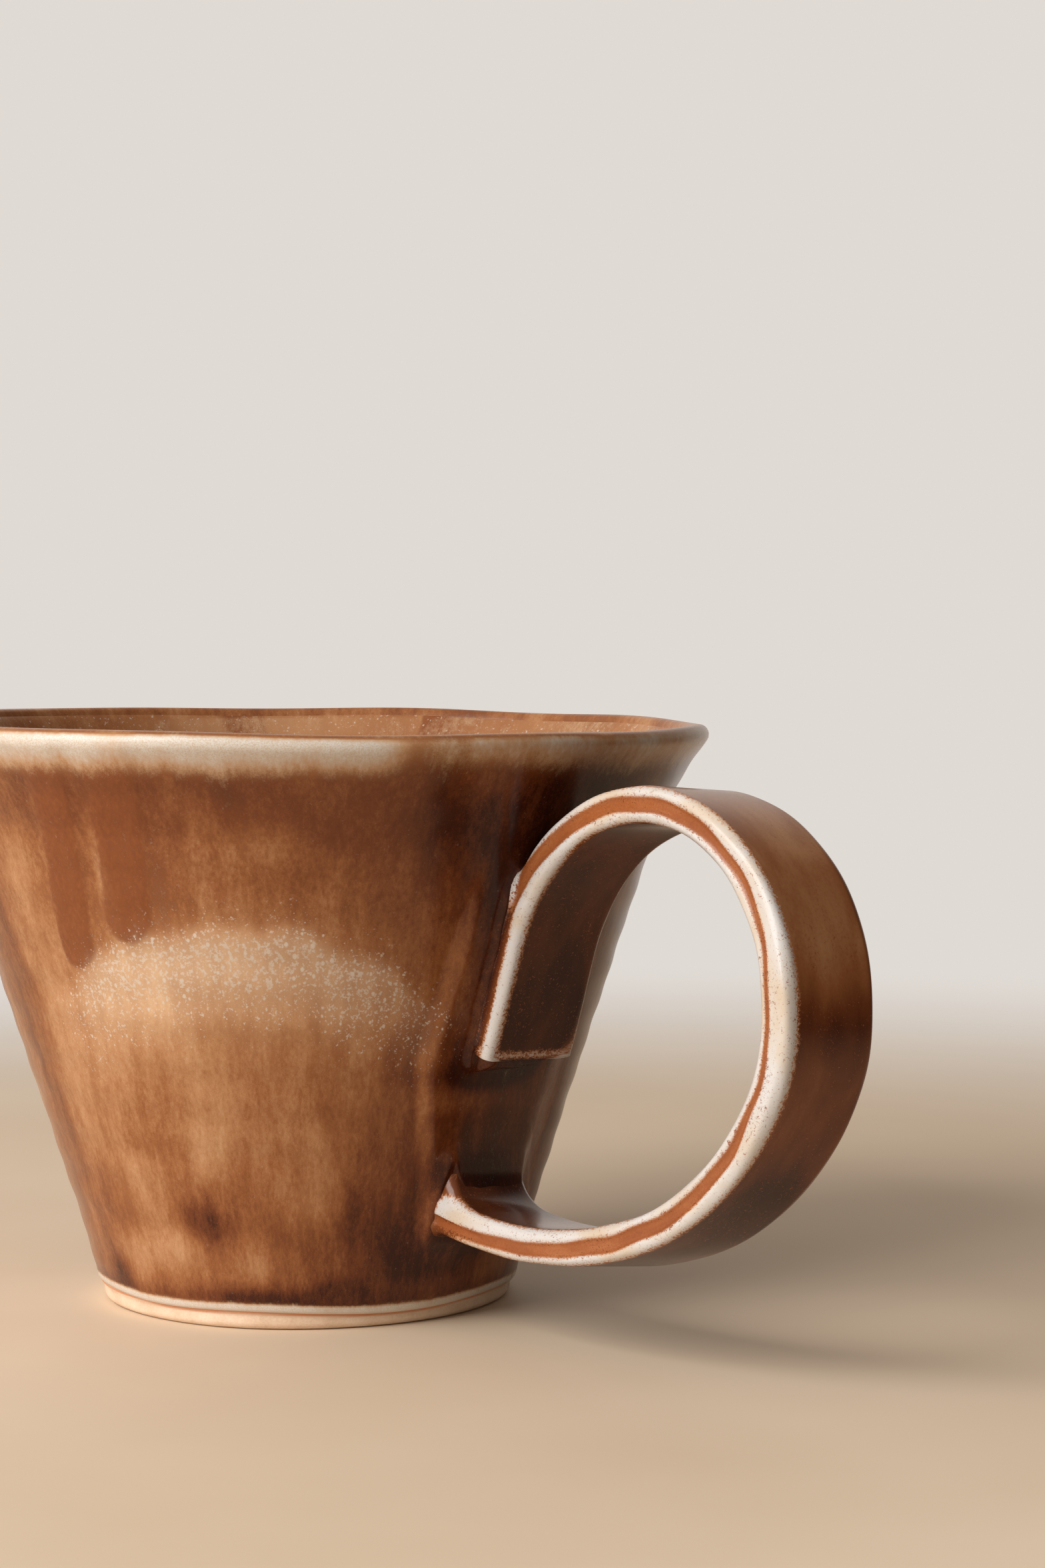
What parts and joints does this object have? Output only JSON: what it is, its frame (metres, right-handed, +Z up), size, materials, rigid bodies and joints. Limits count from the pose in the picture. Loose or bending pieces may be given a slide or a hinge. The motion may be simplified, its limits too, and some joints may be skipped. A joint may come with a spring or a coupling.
{
  "type": "ceramic mug",
  "caption": "Conical handmade mug with a flared lip, a rutile-brown glaze over a bare clay foot, and a ribbon loop handle whose tail runs down the wall.",
  "frame": {"origin": "centre of the foot, on the surface that the mug stands on", "axes": "+Z up along the cup's axis, +X towards the handle"},
  "size_m": [0.1456, 0.104, 0.074],
  "materials": {
    "bare_clay": "dry fired clay, matt",
    "brown_glaze": "glossy streaked rutile-brown glaze that breaks cream on edges",
    "liner_glaze": "glossy brown glaze, paler and mottled towards the lip"
  },
  "bodies": {
    "root": {"cup_body": "bare_clay", "handle_strap": "bare_clay", "upper_joint_slip": "bare_clay", "lower_joint_slip": "bare_clay", "exterior_glaze": "brown_glaze", "handle_glaze": "brown_glaze", "interior_glaze": "liner_glaze"}
  },
  "joints": []
}
